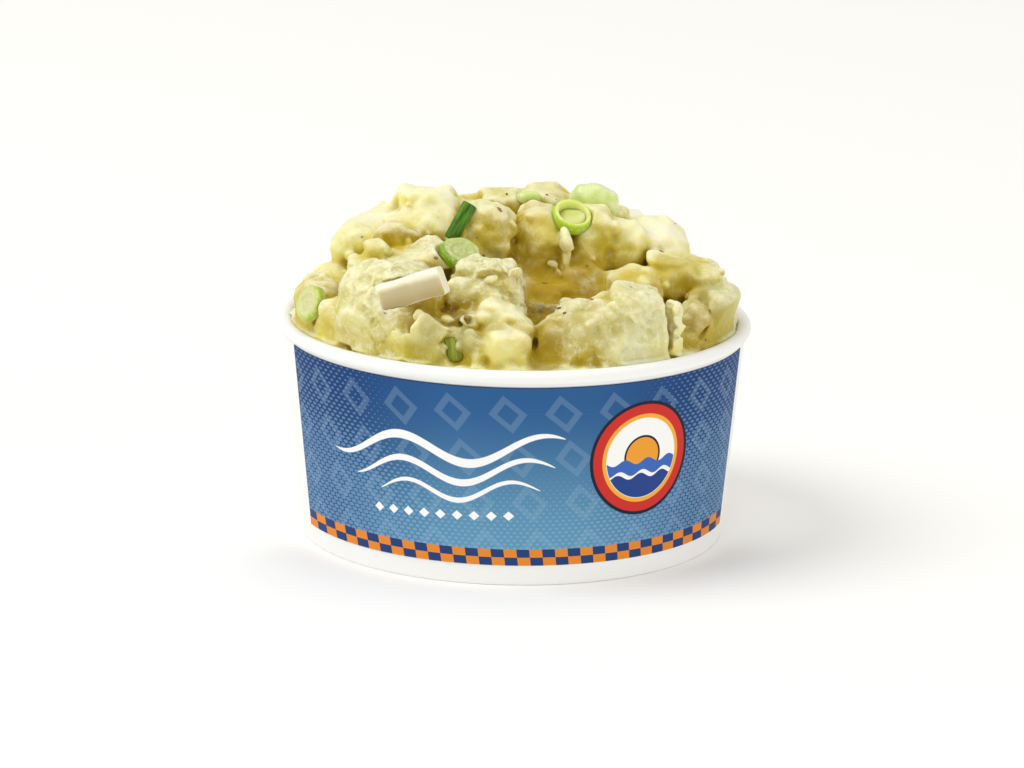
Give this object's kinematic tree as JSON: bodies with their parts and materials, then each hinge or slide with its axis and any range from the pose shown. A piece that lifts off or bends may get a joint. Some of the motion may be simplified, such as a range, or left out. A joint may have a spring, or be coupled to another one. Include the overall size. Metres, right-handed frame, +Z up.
{
  "type": "potato salad in a paper cup",
  "caption": "Chunky potato salad with egg white and green onion, heaped over the rolled rim of a squat round paper food cup with a printed band.",
  "frame": {"origin": "middle of the ring that the cup stands on", "axes": "+Z up along the cup's axis, -Y towards the middle of the printed band, +X to the right seen from that side"},
  "size_m": [0.0978, 0.098, 0.0721],
  "materials": {
    "paper": "satin coated white paper board",
    "print": "satin print in blues with an orange and navy check at its foot",
    "potato": "moist, granular, translucent cream yellow with a creamy dressing",
    "egg": "smooth, moist, translucent off-white",
    "onion": "moist, translucent pale green",
    "leaf": "moist dark green leaf"
  },
  "bodies": {
    "root": {"cup_wall": "paper", "cup_floor": "paper", "printed_band": "print", "salad": "potato", "egg_white": "egg", "egg_white_rear": "egg", "onion_slice": "onion", "onion_slice_left": "onion", "onion_slice_rear": "onion", "onion_ring_front": "onion", "onion_ring_rear": "onion", "onion_piece_top": "onion", "onion_piece_back": "onion", "onion_leaf": "leaf", "onion_leaf_front": "leaf", "onion_leaf_rear": "leaf"}
  },
  "joints": []
}
